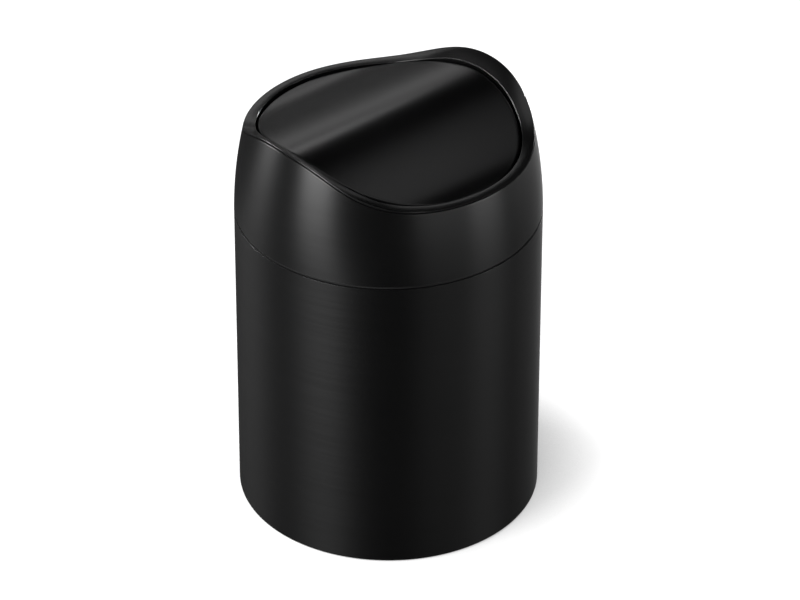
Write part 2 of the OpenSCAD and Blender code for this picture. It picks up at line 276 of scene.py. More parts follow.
@dataclass(frozen=True)
class SatinLacquer(Finish):
    """Satin black lacquer on brushed sheet steel, whose streaks run round the can."""

    base: Triple = (0.0007, 0.0007, 0.0008)
    tint: Triple = (0.0010, 0.0010, 0.0011)
    rough: Pair = (0.355, 0.375)
    anisotropy: float = 0.78
    streak_turn: float = 0.25
    streaks: float = 900.0
    streak_stretch: Triple = (0.02, 0.02, 1.0)
    streak_detail: float = 4.0
    streak_depth: float = 0.004 * MM
    streak_share: float = 0.5
    clouds: float = 28.0
    ior: float = 1.5

    def dress(self, sheet: NodeSheet) -> None:
        """Sets up the shader on an empty sheet.

        Args:
            sheet: Node tree of the new material.
        """
        streaks = sheet.noise(sheet.place(self.streak_stretch), self.streaks, self.streak_detail)
        sheet.paint(sheet.noise(sheet.place(), self.clouds), self.base, self.tint)
        sheet.roughen(streaks, self.rough)
        sheet.relief(streaks, self.streak_depth, self.streak_share)
        tangent = sheet.node("Tangent", direction_type="UV_MAP", uv_map=Grid.UV_NAME)
        sheet.link(tangent.outputs["Tangent"], sheet.shader.inputs["Tangent"])
        sheet.set(Anisotropic=self.anisotropy, Anisotropic_Rotation=self.streak_turn, IOR=self.ior)


@dataclass(frozen=True)
class MouldedPlastic(Finish):
    """Black moulded plastic with a fine grain."""

    base: Triple = (0.0007, 0.0007, 0.0008)
    tint: Triple = (0.0010, 0.0010, 0.0011)
    rough: Pair = (0.22, 0.24)
    grain: float = 2600.0
    grain_depth: float = 0.006 * MM
    grain_share: float = 0.4
    flow: float = 22.0
    ior: float = 1.5

    def dress(self, sheet: NodeSheet) -> None:
        """Sets up the shader on an empty sheet.

        Args:
            sheet: Node tree of the new material.
        """
        where = sheet.place()
        flow = sheet.noise(where, self.flow)
        sheet.paint(flow, self.base, self.tint)
        sheet.roughen(flow, self.rough)
        sheet.relief(sheet.noise(where, self.grain), self.grain_depth, self.grain_share)
        sheet.set(IOR=self.ior)


@dataclass(frozen=True)
class Rubber(Finish):
    """Dull black rubber with a little dust in its pores."""

    base: Triple = (0.008, 0.008, 0.008)
    dust: Triple = (0.030, 0.028, 0.026)
    dust_share: float = 0.6
    patches: float = 160.0
    rough: Pair = (0.78, 0.9)
    pores: float = 1400.0
    pore_depth: float = 0.03 * MM
    pore_share: float = 0.5
    detail: float = 3.0
    ior: float = 1.45

    def dress(self, sheet: NodeSheet) -> None:
        """Sets up the shader on an empty sheet.

        Args:
            sheet: Node tree of the new material.
        """
        where = sheet.place()
        pores = sheet.noise(where, self.pores, self.detail)
        dust = sheet.noise(where, self.patches, self.detail)
        sheet.paint(dust, self.base, self.dust, self.dust_share)
        sheet.roughen(pores, self.rough)
        sheet.relief(pores, self.pore_depth, self.pore_share)
        sheet.set(IOR=self.ior)


@dataclass(frozen=True)
class BareMetal(Finish):
    """Bare or plated metal with fine marks of turning or drawing."""

    base: Triple
    tint: Triple
    rough: Pair
    marks: float = 2200.0
    stretch: Triple = (1.0, 0.1, 1.0)
    mark_depth: float = 0.008 * MM
    mark_share: float = 0.4
    stains: float = 120.0
    detail: float = 3.0

    def dress(self, sheet: NodeSheet) -> None:
        """Sets up the shader on an empty sheet.

        Args:
            sheet: Node tree of the new material.
        """
        marks = sheet.noise(sheet.place(self.stretch), self.marks, self.detail)
        sheet.paint(sheet.noise(sheet.place(), self.stains, self.detail), self.base, self.tint)
        sheet.roughen(marks, self.rough)
        sheet.relief(marks, self.mark_depth, self.mark_share)
        sheet.set(Metallic=1.0)


@dataclass(frozen=True)
class Nylon(Finish):
    """Natural nylon, off-white and waxy."""

    base: Triple = (0.72, 0.71, 0.66)
    tint: Triple = (0.64, 0.62, 0.56)
    rough: Pair = (0.38, 0.48)
    clouds: float = 300.0
    grain: float = 2400.0
    grain_depth: float = 0.006 * MM
    grain_share: float = 0.4
    ior: float = 1.53

    def dress(self, sheet: NodeSheet) -> None:
        """Sets up the shader on an empty sheet.

        Args:
            sheet: Node tree of the new material.
        """
        where = sheet.place()
        clouds = sheet.noise(where, self.clouds)
        sheet.paint(clouds, self.base, self.tint)
        sheet.roughen(clouds, self.rough)
        sheet.relief(sheet.noise(where, self.grain), self.grain_depth, self.grain_share)
        sheet.set(IOR=self.ior)


# Shapes of the steel, the frame and the lid


class Grid:
    """Mesh of a section that is swept round the can's axis."""

    UV_NAME = "Sweep"

    def __init__(self, angles: np.ndarray, sections: list[np.ndarray], closed: bool = True) -> None:
        """Keeps the section at each angle.

        Args:
            angles: Angles round the axis in radians, in rising order.
            sections: Section at each angle, as rows of radius and height.
            closed: Whether the section's last point joins its first. A section that isn't closed
                starts and ends on the axis.
        """
        self.angles = angles
        self.sections = np.array(sections)
        self.closed = closed

    def mesh(self, name: str) -> bpy.types.Mesh:
        """Makes the mesh, closed round the axis, with a UV map that follows the sweep.

        Args:
            name: Name of the mesh.

        Returns:
            The new mesh.
        """
        steps, count = self.sections.shape[:2]
        radius, height = self.sections[..., 0], self.sections[..., 1]
        turn = self.angles[:, None]
        points = np.stack([radius * np.cos(turn), radius * np.sin(turn), height], -1)
        strips = count if self.closed else count - 1
        here, along = np.meshgrid(np.arange(steps), np.arange(strips), indexing="ij")
        after, beyond = (here + 1) % steps, (along + 1) % count
        faces = np.stack([here * count + along, after * count + along,
                          after * count + beyond, here * count + beyond], -1)
        made = bpy.data.meshes.new(name)
        made.from_pydata(points.reshape(-1, 3).tolist(), [], faces.reshape(-1, 4).tolist())
        u = np.stack([here, here + 1, here + 1, here], -1) / steps
        v = np.stack([along, along, along + 1, along + 1], -1) / count
        layer = made.uv_layers.new(name=self.UV_NAME)
        layer.data.foreach_set("uv", np.stack([u, v], -1).astype(np.float32).ravel())
        if not self.closed:
            stitch(made)
        smooth(made)
        return made


def stitch(mesh: bpy.types.Mesh, reach: float = 0.001 * MM) -> None:
    """Joins points of a mesh that lie on each other, and drops the faces that collapse.

    Args:
        mesh: Mesh to mend in place.
        reach: Points closer than this are joined.
    """
    work = bmesh.new()
    work.from_mesh(mesh)
    bmesh.ops.remove_doubles(work, verts=work.verts, dist=reach)
    work.to_mesh(mesh)
    work.free()


def smooth(mesh: bpy.types.Mesh) -> None:
    """Shades a mesh smooth, apart from edges that turn by more than SHARP_DEG."""
    mesh.shade_smooth()
    mesh.set_sharp_from_angle(angle=math.radians(SHARP_DEG))


def prism(loops: Sequence[np.ndarray]) -> bpy.types.Mesh:
    """Closed body between loops of points, such as the rings of a bar.

    Args:
        loops: Rows of X, Y and Z, as many in each loop.

    Returns:
        The new mesh, with its faces turned outward.
    """
    count = len(loops[0])
    last = count * (len(loops) - 1)
    faces: list[list[int]] = [list(range(count)), list(range(last, last + count))]
    for level in range(len(loops) - 1):
        for place in range(count):
            here, after = level * count + place, level * count + (place + 1) % count
            faces.append([here, after, after + count, here + count])
    made = bpy.data.meshes.new("prism")
    made.from_pydata(np.concatenate(loops).tolist(), [], faces)
    work = bmesh.new()
    work.from_mesh(made)
    bmesh.ops.recalc_face_normals(work, faces=work.faces)
    work.to_mesh(made)
    work.free()
    return made


def combine(base: bpy.types.Mesh, others: Sequence[bpy.types.Mesh], how: Join) -> bpy.types.Mesh:
    """Adds closed bodies to a closed body, or cuts them from it.

    Args:
        base: Mesh to work on.
        others: Meshes to add or cut.
        how: What to do with them.

    Returns:
        The combined mesh, under the name of the base.
    """
    scene = bpy.context.scene
    carrier = bpy.data.objects.new("carrier", base)
    scene.collection.objects.link(carrier)
    tools = []
    for other in others:
        tool = bpy.data.objects.new("tool", other)
        scene.collection.objects.link(tool)
        tools.append(tool)
        step = carrier.modifiers.new("step", "BOOLEAN")
        step.operation, step.solver, step.object = how.value, "EXACT", tool
    view = bpy.context.evaluated_depsgraph_get()
    result = bpy.data.meshes.new_from_object(carrier.evaluated_get(view))
    name = base.name
    for used in (carrier, *tools):
        spent = used.data
        bpy.data.objects.remove(used)
        bpy.data.meshes.remove(spent)
    result.name = name
    return result


def ring(x: float, centre_z: float, radius: float, steps: int = 48) -> np.ndarray:
    """Rows of X, Y and Z on a circle round the pivot line, which lies along X at height centre_z."""
    turn = np.linspace(0, 2 * math.pi, steps, endpoint=False)
    return np.stack([np.full(steps, x), radius * np.cos(turn), centre_z + radius * np.sin(turn)], -1)


def arc(centre: Sequence[float], radius: float, start: float, end: float, steps: int) -> np.ndarray:
    """Rows of radius and height along an arc, whose start and end are in degrees and steps are chords."""
    turn = np.radians(np.linspace(start, end, steps + 1))
    return np.stack([centre[0] + radius * np.cos(turn), centre[1] + radius * np.sin(turn)], -1)


def flanked(low: float, high: float, steps: int, margin: float = 0.2 * MM) -> np.ndarray:
    """Low, even heights a margin inside both ends, and high, so that shading stays flat near them."""
    return np.concatenate([[low], np.linspace(low + margin, high - margin, steps), [high]])


def soften(points: Sequence[Sequence[float]], radii: Sequence[float], steps: int) -> np.ndarray:
    """Rounds the corners of a closed outline.

    Args:
        points: Corners of the outline.
        radii: Distance from each corner at which its rounding starts.
        steps: Chords in each rounding.

    Returns:
        Rows of radius and height, steps + 1 for each corner.
    """
    corners = np.asarray(points, float)
    share = np.linspace(0, 1, steps + 1)[:, None]
    rows = []
    for place, corner in enumerate(corners):
        before, after = corners[place - 1] - corner, corners[(place + 1) % len(corners)] - corner
        start = corner + before / np.linalg.norm(before) * radii[place]
        end = corner + after / np.linalg.norm(after) * radii[place]
        rows.append(start * (1 - share) ** 2 + 2 * corner * share * (1 - share) + end * share ** 2)
    return np.concatenate(rows)


@dataclass(frozen=True)
class CanForm:
    """Formulas of the can's outer form, with its main sizes taken from the frame.

    The wall is straight up to barrel_drop below the seam and then follows an arc of radius
    barrel_arc. The rim and the lid are waves over the distance from the pivot line.
    """

    sheet_t: float = 0.6 * MM
    bead_r: float = 1.2 * MM
    barrel_arc: float = 178.0 * MM
    barrel_drop: float = 2.5 * MM
    rim_low: float = 32.4 * MM
    rim_rise: float = 15.1 * MM
    rim_flank: float = -0.12
    lid_rise: float = 11.3 * MM
    lid_lean: float = -0.1
    lid_flank: float = 0.1
    lid_drop: float = 1.0 * MM
    seam_play: float = 0.2 * MM
    lip_h: float = 0.8 * MM
    groove_h: float = 0.4 * MM
    opening_l: float = 98.5 * MM
    opening_w: float = 110.4 * MM
    opening_full: float = 0.85 * MM
    rounds: int = 8
    body_r: float = field(default_factory=lambda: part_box("body_sleeve")[1].x)
    body_low: float = field(default_factory=lambda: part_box("body_sleeve")[0].z)
    body_top: float = field(default_factory=lambda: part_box("body_sleeve")[1].z)
    collar_low: float = field(default_factory=lambda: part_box("collar_skin")[0].z)

    @property
    def seam_z(self) -> float:
        """Height of the line between the body and the collar."""
        return (self.body_top + self.collar_low) / 2

    @property
    def edge_z(self) -> float:
        """Height of the rim at the front and the back."""
        return self.seam_z + self.rim_low

    @property
    def barrel_z(self) -> float:
        """Height at which the wall starts to draw in."""
        return self.seam_z - self.barrel_drop

    def wall_r(self, z: np.ndarray) -> np.ndarray:
        """Radius of the outer wall at height z."""
        over = np.maximum(np.asarray(z, float) - self.barrel_z, 0)
        return self.body_r - self.barrel_arc + np.sqrt(self.barrel_arc ** 2 - over ** 2)

    def wave(self, y: np.ndarray, half: float, rise: float, lean: float, flank: float) -> np.ndarray:
        """Height of a wave that is highest on the pivot line.

        Args:
            y: Distances from the pivot line.
            half: Distance at which the wave ends.
            rise: Height of the wave.
            lean: How much the steepest place of a flank leans to the ridge, or away from it below 0.
            flank: How much flatter the middle of a flank is than a plain wave, or steeper below 0.

        Returns:
            The height at each distance.
        """
        turn = math.pi * np.minimum(np.abs(y) / half, 1)
        fall = (1 - np.cos(turn)) + lean * (1 - np.cos(2 * turn)) / 2 + flank * (1 - np.cos(3 * turn)) / 3
        return self.edge_z + rise * (1 - fall / (2 + 2 * flank / 3))

    def rim_wave(self, y: np.ndarray) -> np.ndarray:
        """Height of the rim's outer edge at distance y from the pivot line."""
        return self.wave(y, float(self.wall_r(self.edge_z)), self.rim_rise, 0, self.rim_flank)

    def edge_wave(self, y: np.ndarray) -> np.ndarray:
        """Height of the rim's inner edge at distance y from the pivot line."""
        return self.wave(y, self.opening_w / 2, self.lid_rise, 0, self.rim_flank)

    def lid_wave(self, y: np.ndarray) -> np.ndarray:
        """Height of the lid's top face at distance y from the pivot line."""
        level = self.wave(y, self.opening_w / 2, self.lid_rise, self.lid_lean, self.lid_flank)
        return level - self.lid_drop

    def opening_r(self, turn: np.ndarray) -> np.ndarray:
        """Radius of the opening's edge at an angle from the pivot line."""
        mean, swell = (self.opening_l + self.opening_w) / 4, (self.opening_l - self.opening_w) / 4
        return mean + swell * np.cos(2 * turn) + self.opening_full * (1 - np.cos(4 * turn)) / 2

    def rim_r(self, turn: float) -> float:
        """Radius of the rim's outer edge, found by rounds of going from the wave to the barrel.

        Args:
            turn: Angle from the pivot line.

        Returns:
            The radius.
        """
        radius = float(self.wall_r(self.edge_z))
        for _ in range(self.rounds):
            radius = float(self.wall_r(self.rim_wave(radius * math.sin(turn))))
        return radius


@dataclass
class Dresser:
    """Finishes of all slots, made once and handed to the pieces."""

    finishes: dict[Slot, Finish]
    made: dict[Slot, bpy.types.Material] = field(default_factory=dict)

    def material(self, slot: Slot) -> bpy.types.Material:
        """Gives the material of a slot.

        Args:
            slot: The record's slot.

        Returns:
            Its material, the same one for every piece.
        """
        if slot not in self.made:
            self.made[slot] = self.finishes[slot].material(slot.value)
        return self.made[slot]

    def keep(self, node: str, slot: Slot) -> None:
        """Gives a CAD node that stays the material of its slot.

        Args:
            node: Name of the node.
            slot: The record's slot.
        """
        shown = frame["nodes"][node]
        shown.data.materials.clear()
        shown.data.materials.append(self.material(slot))
        LOG.info("%s keeps its CAD shape, with finish %s", node, slot.value)

    def stand_in(self, name: str, mesh: bpy.types.Mesh, body: Body, slot: Slot, node: str) -> None:
        """Puts a piece in the place of a CAD node.

        Args:
            name: Name of the piece.
            mesh: Mesh of the piece, in the frame of the CAD model.
            body: Body that it rides on.
            slot: The record's slot.
            node: Name of the node that it stands for.
        """
        piece = bpy.data.objects.new(name, mesh)
        bpy.context.scene.collection.objects.link(piece)
        mesh.materials.append(self.material(slot))
        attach(piece, body.value)
        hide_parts(node)
        LOG.info("%s stands for %s with %d faces", name, node, len(mesh.polygons))


@dataclass
class CanBody:
    """Straight wall with its bead and hem, the floor pan, the base ring and the foot pads."""

    form: CanForm
    hem_w: float = 3.5 * MM
    fold_r: float = 0.6 * MM
    corner_r: float = 0.05 * MM
    bead_end: float = 2.2
    bead_turn: Pair = (92, 250)
    bead_chords: int = 16
    fold_chords: int = 8
    corner_chords: int = 6
    hem_chords: int = 4
    weld_turn: float = math.pi / 2
    weld_w: float = 0.5 * MM
    weld_depth: float = 0.12 * MM
    weld_margin: float = 2.5 * MM
    weld_edge: float = 0.55
    weld_slope: float = 0.2
    weld_places: tuple[float, ...] = (-0.62, -0.5, -0.3, 0.3, 0.5, 0.62)
    steps: int = 512
    digits: int = 9
    rows: int = 40
    pads: int = 4

    def angles(self) -> np.ndarray:
        """Angles for the sections of the steel.

        Returns:
            Even angles, with more of them beside the weld at the back.
        """
        even = np.linspace(0, 2 * math.pi, self.steps, endpoint=False)
        weld = self.weld_turn + np.array(self.weld_places) * self.weld_w / self.form.body_r
        return np.unique(np.round(np.concatenate([even, weld]), self.digits))

    def weld(self, angle: float, z: np.ndarray, low: float, high: float) -> np.ndarray:
        """Depth of the welded seam.

        Args:
            angle: Angle round the axis.
            z: Heights.
            low: Height where the seam starts.
            high: Height where it ends.

        Returns:
            The depth at each height.
        """
        off = abs(angle - self.weld_turn) * self.form.body_r / self.weld_w
        across = np.clip((self.weld_edge - off) / self.weld_slope, 0, 1)
        ends = np.clip(np.minimum(z - low, high - z) / self.fold_r, 0, 1)
        return self.weld_depth * across * ends

    def section(self, angle: float) -> np.ndarray:
        """Section of the wall: hem, fold, outer face, bead and inner face.

        Args:
            angle: Angle round the axis.

        Returns:
            Rows of radius and height.
        """
        form, fold, bead, corner = self.form, self.fold_r, self.form.bead_r, self.corner_r
        low, top, sheet = form.body_low, form.body_top - form.seam_play, form.sheet_t
        heights = flanked(low + fold, top - corner, self.rows)
        outside = np.stack([np.full(len(heights), form.body_r), heights], -1)
        outside[:, 0] -= self.weld(angle, outside[:, 1], low + self.weld_margin, top - 2 * bead)
        hem_in = form.body_r - self.hem_w
        return np.concatenate([
            arc((hem_in + sheet / 2, low + sheet / 2), sheet / 2, 180, 270, self.hem_chords),
            arc((form.body_r - fold, low + fold), fold, -90, -10, self.fold_chords),
            outside,
            arc((form.body_r - corner, top - corner), corner, 10, 90, self.corner_chords),
            arc((form.body_r - bead, top - bead), bead, *self.bead_turn, self.bead_chords),
            [(form.body_r - sheet, top - self.bead_end * bead), (form.body_r - sheet, low + fold + sheet)],
            arc((form.body_r - sheet - fold / 2, low + sheet + fold / 2), fold / 2, 0, -90,
                self.hem_chords),
            [(hem_in + sheet / 2, low + sheet)],
        ])

    def build(self, dresser: Dresser) -> None:
        """Makes the wall and dresses the pieces of the base.

        Args:
            dresser: Finishes of all slots.
        """
        angles = self.angles()
        wall = Grid(angles, [self.section(angle) for angle in angles]).mesh("sleeve_wall")
        dresser.stand_in("sleeve_wall", wall, Body.CAN, Slot.SHELL, "body_sleeve")
        dresser.keep("base_pan", Slot.PAN)
        dresser.keep("base_ring", Slot.INNER)
        for number in range(1, self.pads + 1):
            dresser.keep(f"foot_pad_{number}", Slot.PAD)


@dataclass
class Collar:
    """Barrel-shaped skin, the moulded frame round the opening and what holds them.

    The fields that end in _lap keep the faces of joined and cut bodies off each other.
    """

    form: CanForm
    body: CanBody
    edge_r: float = 1.6 * MM
    crown_h: float = 0.15 * MM
    frame_t: float = 1.2 * MM
    frame_drop: float = 0.4 * MM
    skin_gap: float = 0.1 * MM
    flange_h: float = 4.0 * MM
    funnel_h: float = 24.0 * MM
    funnel_flare: float = 0.3 * MM
    hem_w: float = 3.0 * MM
    hem_step: float = 0.3 * MM
    fold_r: float = 0.25 * MM
    fold_chords: int = 5
    chamfer: float = 0.05 * MM
    burr_w: float = 0.1 * MM
    weld_lap: float = 1.0 * MM
    lip_round: float = 0.35 * MM
    crown_round: float = 1.5 * MM
    edge_round: float = 0.25 * MM
    inner_round: float = 0.3 * MM
    sharp_round: float = 0.12 * MM
    round_steps: int = 8
    boss_r: float = 4.9 * MM
    boss_caps: tuple[Pair, ...] = (
        (0.4 * MM, 3.2 * MM), (0.6 * MM, 3.2 * MM), (2.0 * MM, 4.9 * MM))
    boss_end: float = 54.15 * MM
    bore_r: float = 2.3 * MM
    bore_end: float = 52.15 * MM
    seat_r: float = 2.95 * MM
    seat_t: float = 0.5 * MM
    seat_lap: float = 0.05 * MM
    pocket_r: float = 3.9 * MM
    pocket_deg: float = 99.0
    pocket_steps: int = 40
    pocket_lap: float = 0.02 * MM
    bore_lap: float = 0.01 * MM
    start_lap: float = 1.0 * MM
    end_lap: float = 0.1 * MM
    post_ring: float = 55.65 * MM
    post_r: float = 2.15 * MM
    post_low: float = 3.45 * MM
    post_top: float = 33.0 * MM
    post_clear: float = 0.6 * MM
    post_step: float = 0.02 * MM
    post_bore: Pair = (1.25 * MM, 9.0 * MM)
    post_deg: tuple[float, ...] = (52, 128, 232, 308)
    post_steps: int = 32
    steps: int = 512
    rows: int = 32
    inner_stride: int = 4

    @property
    def pivot_z(self) -> float:
        """Height of the pivot line, from the frame's joint."""
        return next(joint["pos_m"][2] for joint in frame["joints"] if joint["name"] == "lid_swing")

    def bosses(self) -> list[bpy.types.Mesh]:
        """Solid round each pivot, kept under the slope of the band.

        Returns:
            One mesh for each pivot.
        """
        made = []
        half = self.form.opening_l / 2
        levels = [(half + out, cap) for out, cap in self.boss_caps] + [(self.boss_end, self.boss_r)]
        for side in (1, -1):
            loops = []
            for x, cap in levels:
                loop = ring(side * x, self.pivot_z, self.boss_r)
                loop[:, 2] = np.minimum(loop[:, 2], self.pivot_z + cap)
                loops.append(loop)
            made.append(prism(loops))
        return made

    def posts(self, radius: float, low: float, high: float) -> list[bpy.types.Mesh]:
        """Upright bars at the four screw places, kept out of the funnel's mouth.

        Args:
            radius: Radius of the bars.
            low: Height of their lower ends.
            high: Height of their upper ends.

        Returns:
            One mesh for each screw.
        """
        made = []
        turn = np.linspace(0, 2 * math.pi, self.post_steps, endpoint=False)
        mouth_low = self.form.seam_z + self.funnel_h + self.start_lap
        for place in np.radians(self.post_deg):
            x = self.post_ring * math.cos(place) + radius * np.cos(turn)
            y = self.post_ring * math.sin(place) + radius * np.sin(turn)
            angle = np.arctan2(y, x)
            out = np.maximum(np.hypot(x, y), self.form.opening_r(angle) + self.post_clear)
            levels = [(low, x, y), (min(high, mouth_low), x, y)]
            if high > mouth_low:
                kept = (out * np.cos(angle), out * np.sin(angle))
                levels += [(mouth_low + self.post_step, *kept), (high, *kept)]
            made.append(prism([np.stack([*at, np.full(len(turn), z)], -1) for z, *at in levels]))
        return made

    def pivot_cuts(self) -> list[bpy.types.Mesh]:
        """Bore, flange seat and key pocket of each pivot.

        Returns:
            The bodies to cut.
        """
        made = []
        start = self.form.opening_l / 2 - self.start_lap
        seat_end = self.bore_end + self.seat_t
        beyond = self.boss_end + self.start_lap
        stretches = ((start, self.bore_end + self.bore_lap, self.bore_r),
                     (self.bore_end, seat_end + self.seat_lap, self.seat_r),
                     (seat_end, beyond, self.bore_r))
        fan = np.radians(90 + np.linspace(-self.pocket_deg, self.pocket_deg, self.pocket_steps))
        outline = [(0.0, 0.0), *zip(self.pocket_r * np.cos(fan), self.pocket_r * np.sin(fan))]
        for side in (1, -1):
            for near, far, radius in stretches:
                made.append(prism([ring(side * x, self.pivot_z, radius) for x in (near, far)]))
            made.append(prism([np.array([(side * x, y, self.pivot_z + z) for y, z in outline])
                               for x in (seat_end + self.pocket_lap, beyond + self.end_lap)]))
        return made

    def skin_section(self, angle: float) -> np.ndarray:
        """Section of the skin, from its turned-in lower edge to its waved upper edge and back.

        Args:
            angle: Angle round the axis.

        Returns:
            Rows of radius and height.
        """
        form, fold, sheet = self.form, self.fold_r, self.form.sheet_t
        low = form.collar_low + form.seam_play
        rim = form.rim_r(angle)
        top = float(form.rim_wave(rim * math.sin(angle))) - form.lip_h - form.groove_h
        heights = flanked(low + fold, top - self.chamfer, self.rows)
        radii = form.wall_r(heights)
        outside = np.stack([radii, heights], -1)
        outside[:, 0] -= self.body.weld(angle, heights, low + self.body.weld_margin, top + self.weld_lap)
        upper = float(form.wall_r(top))
        inside = np.stack([radii - sheet, heights], -1)[::-self.inner_stride]
        return np.concatenate([
            [(form.body_r - self.hem_w, low + sheet), (form.body_r - self.hem_w, low)],
            arc((form.body_r - fold, low + fold), fold, -90, -15, self.fold_chords),
            outside,
            [(upper - self.chamfer, top), (upper - sheet + self.burr_w, top)],
            inside,
            [(form.body_r - sheet - self.hem_step, low + sheet)],
        ])

    def frame_section(self, angle: float) -> np.ndarray:
        """Section of the moulded frame: lip, band, rounded inner edge, funnel and flange.

        Args:
            angle: Angle round the axis.

        Returns:
            Rows of radius and height.
        """
        form = self.form
        rim = form.rim_r(angle)
        rim_z = float(form.rim_wave(rim * math.sin(angle)))
        mouth = float(form.opening_r(np.array(angle)))
        mouth_z = float(form.edge_wave(mouth * math.sin(angle)))
        lip_z = rim_z - form.lip_h
        inset = form.sheet_t + self.skin_gap
        flange_z = lip_z - self.flange_h
        funnel_z = form.seam_z + self.funnel_h
        lip_in = float(form.wall_r(lip_z)) - inset
        flange_r = float(form.wall_r(flange_z)) - inset
        outer, inner = np.array((rim, rim_z)), np.array((mouth, mouth_z))
        along = (outer - inner) / np.linalg.norm(outer - inner)
        across = np.array((-along[1], along[0]))
        crown = (outer + inner + along * self.edge_r) / 2 + across * self.crown_h
        funnel_r = mouth + self.funnel_flare
        under = self.edge_r + self.frame_drop
        band = [
            ((float(form.wall_r(lip_z)), lip_z), self.sharp_round), (tuple(outer), self.lip_round),
            (tuple(crown), self.crown_round), (tuple(inner), self.edge_round),
        ]
        below = [
            (funnel_r, funnel_z), (funnel_r + self.frame_t, funnel_z),
            (mouth + self.frame_t, mouth_z - under), (lip_in - self.frame_t, rim_z - under),
            (flange_r - self.frame_t, flange_z), (flange_r, flange_z),
        ]
        rounded = [(corner, self.inner_round) for corner in below]
        corners, radii = zip(*band, *rounded, ((lip_in, lip_z), self.sharp_round))
        return soften(corners, radii, self.round_steps)

    def build(self, dresser: Dresser) -> None:
        """Makes the skin and the frame and dresses the smaller pieces.

        Args:
            dresser: Finishes of all slots.
        """
        angles = self.body.angles()
        skin = Grid(angles, [self.skin_section(angle) for angle in angles]).mesh("collar_wall")
        dresser.stand_in("collar_wall", skin, Body.TOP, Slot.SHELL, "collar_skin")
        even = np.linspace(0, 2 * math.pi, self.steps, endpoint=False)
        band = Grid(even, [self.frame_section(angle) for angle in even]).mesh("rim_band")
        low, high = self.form.seam_z + self.post_low, self.form.seam_z + self.post_top
        band = combine(band, self.bosses() + self.posts(self.post_r, low, high), Join.ADD)
        bore_r, bore_h = self.post_bore
        bores = self.posts(bore_r, low - self.start_lap, low + bore_h)
        band = combine(band, self.pivot_cuts() + bores, Join.CUT)
        smooth(band)
        dresser.stand_in("rim_band", band, Body.TOP, Slot.FRAME, "rim_frame")
        dresser.keep("spigot_ring", Slot.INNER)
        dresser.keep("frame_screws", Slot.SCREW)
        for side in ("left", "right"):
            dresser.keep(f"pivot_bush_{side}", Slot.BUSH)


@dataclass
class SwingLid:
    """Waved lid cover, its ribbed backing, the pins, the screws and the return weight."""

    form: CanForm
    gap: float = 1.0 * MM
    cover_t: float = 1.6 * MM
    skirt: float = 5.0 * MM
    skirt_t: float = 1.4 * MM
    edge_step: float = 0.6 * MM
    edge_slope: float = 0.1 * MM
    edge_round: float = 0.7 * MM
    bend_deg: float = 80.0
    bend_steps: int = 7
    steps: int = 512
    rings: int = 64
    under_rings: int = 24

    def section(self, angle: float) -> np.ndarray:
        """Section of the cover, from its middle over the top and the edge and back below.

        Args:
            angle: Angle round the axis.

        Returns:
            Rows of radius and height.
        """
        form = self.form
        edge = float(form.opening_r(np.array(angle))) - self.gap
        swing = math.sin(angle)

        def top(radius: np.ndarray) -> np.ndarray:
            """Height of the top face at each radius."""
            return form.lid_wave(np.asarray(radius) * swing)

        share = np.linspace(0, 1, self.rings + 1)
        flat = (edge - self.edge_round) * share
        upper = np.stack([flat, top(flat)], -1)
        bend = np.radians(np.linspace(self.bend_deg, 0, self.bend_steps))
        edge_r = edge - self.edge_round + self.edge_round * np.cos(bend)
        rounded = np.stack([edge_r, top(edge_r) - self.edge_round * (1 - np.sin(bend))], -1)
        outer = edge - self.edge_step
        inner = outer - self.skirt_t
        below = np.linspace(inner, 0, self.under_rings)
        return np.concatenate([
            upper, rounded,
            [(edge, float(top(edge)) - self.cover_t),
             (outer, float(top(outer)) - self.cover_t - self.edge_slope),
             (outer, float(top(outer)) - self.skirt), (inner, float(top(inner)) - self.skirt)],
            np.stack([below, top(below) - self.cover_t], -1),
        ])

    def build(self, dresser: Dresser) -> None:
        """Makes the cover and dresses the other pieces of the lid.

        Args:
            dresser: Finishes of all slots.
        """
        even = np.linspace(0, 2 * math.pi, self.steps, endpoint=False)
        cover = Grid(even, [self.section(angle) for angle in even], closed=False).mesh("lid_cover")
        dresser.stand_in("lid_cover", cover, Body.LID, Slot.LID, "lid_panel")
        dresser.keep("lid_backing", Slot.INNER)
        dresser.keep("lid_screws", Slot.SCREW)
        dresser.keep("return_weight", Slot.WEIGHT)
        dresser.keep("weight_screws", Slot.SCREW)
        for side in ("left", "right"):
            dresser.keep(f"pivot_pin_{side}", Slot.PIN)


# Floor, lamps and camera


@dataclass(frozen=True)
class Panel:
    """Soft rectangular lamp: its direction from the can in degrees, its sizes in metres, its watts."""

    name: str
    turn: float
    rise: float
    distance: float
    width: float
    height: float
    power: float


